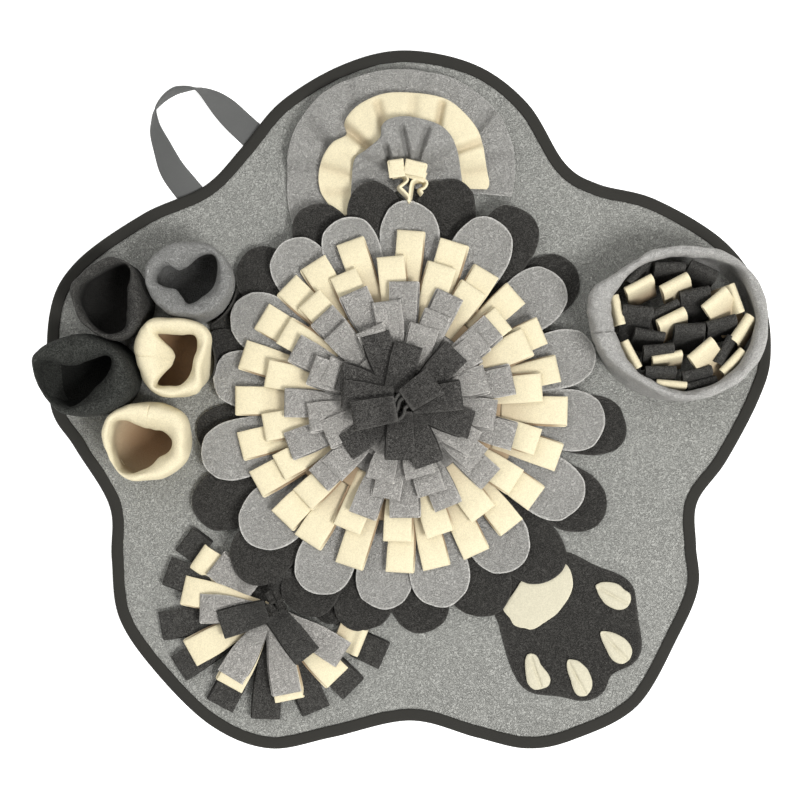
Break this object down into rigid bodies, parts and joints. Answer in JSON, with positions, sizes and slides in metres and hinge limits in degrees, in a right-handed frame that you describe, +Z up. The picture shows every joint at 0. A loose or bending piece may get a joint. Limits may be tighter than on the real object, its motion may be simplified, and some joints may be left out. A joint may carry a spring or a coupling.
{
  "type": "snuffle mat",
  "caption": "Five-lobed fleece mat in which a pet sniffs out treats, with a fringe flower, sock pockets, a strip cup, ruffles, a strip fan and a carrying strap.",
  "frame": {"origin": "centre of the mat's outline box, on the underside that lies on the floor", "axes": "+Z up from the floor, +X towards the cup lobe, +Y towards the ruffle lobe"},
  "size_m": [0.651, 0.627, 0.06],
  "materials": {
    "mat_fleece": "mid-grey polyester fleece with a short nap",
    "light_fleece": "light-grey polyester fleece with a short nap",
    "cream_fleece": "cream polyester fleece with a short nap",
    "dark_fleece": "dark-grey polyester fleece with a short nap",
    "charcoal_fleece": "charcoal polyester fleece with a short nap",
    "grey_fleece": "grey polyester fleece with a short nap",
    "binding_tape": "woven tape, matt, with a fine rib",
    "webbing": "woven strap webbing, matt"
  },
  "bodies": {
    "root": {"cup": "light_fleece", "cup_strips_1": "dark_fleece", "cup_strips_2": "cream_fleece", "cup_strips_3": "dark_fleece", "cup_strips_4": "cream_fleece", "cup_strips_5": "dark_fleece", "cup_strips_6": "cream_fleece", "cup_strips_7": "dark_fleece", "edge_binding": "binding_tape", "fan_1": "dark_fleece", "fan_2": "cream_fleece", "fan_3": "grey_fleece", "fan_4": "dark_fleece", "fringe_1": "cream_fleece", "fringe_2": "cream_fleece", "fringe_3": "grey_fleece", "fringe_4": "grey_fleece", "fringe_5": "dark_fleece", "fringe_6": "dark_fleece", "handle_strap": "webbing", "mat_panel": "mat_fleece", "paw_pad": "cream_fleece", "paw_patch": "dark_fleece", "paw_toe_1": "cream_fleece", "paw_toe_2": "cream_fleece", "paw_toe_3": "cream_fleece", "paw_toe_4": "cream_fleece", "petal_light_01": "light_fleece", "petal_light_02": "light_fleece", "petal_light_03": "light_fleece", "petal_light_04": "light_fleece", "petal_light_05": "light_fleece", "petal_light_06": "light_fleece", "petal_light_07": "light_fleece", "petal_light_08": "light_fleece", "petal_light_09": "light_fleece", "petal_light_10": "light_fleece", "petal_light_11": "light_fleece", "petal_light_12": "light_fleece", "petal_light_13": "light_fleece", "petal_light_14": "light_fleece", "petal_light_15": "light_fleece", "petal_light_16": "light_fleece", "petals_dark_high": "dark_fleece", "petals_dark_low": "dark_fleece", "pocket_1": "dark_fleece", "pocket_2": "light_fleece", "pocket_3": "charcoal_fleece", "pocket_4": "cream_fleece", "pocket_5": "cream_fleece", "ruffle_inner": "light_fleece", "ruffle_middle": "cream_fleece", "ruffle_outer": "light_fleece", "ruffle_tuft": "cream_fleece"}
  },
  "joints": []
}
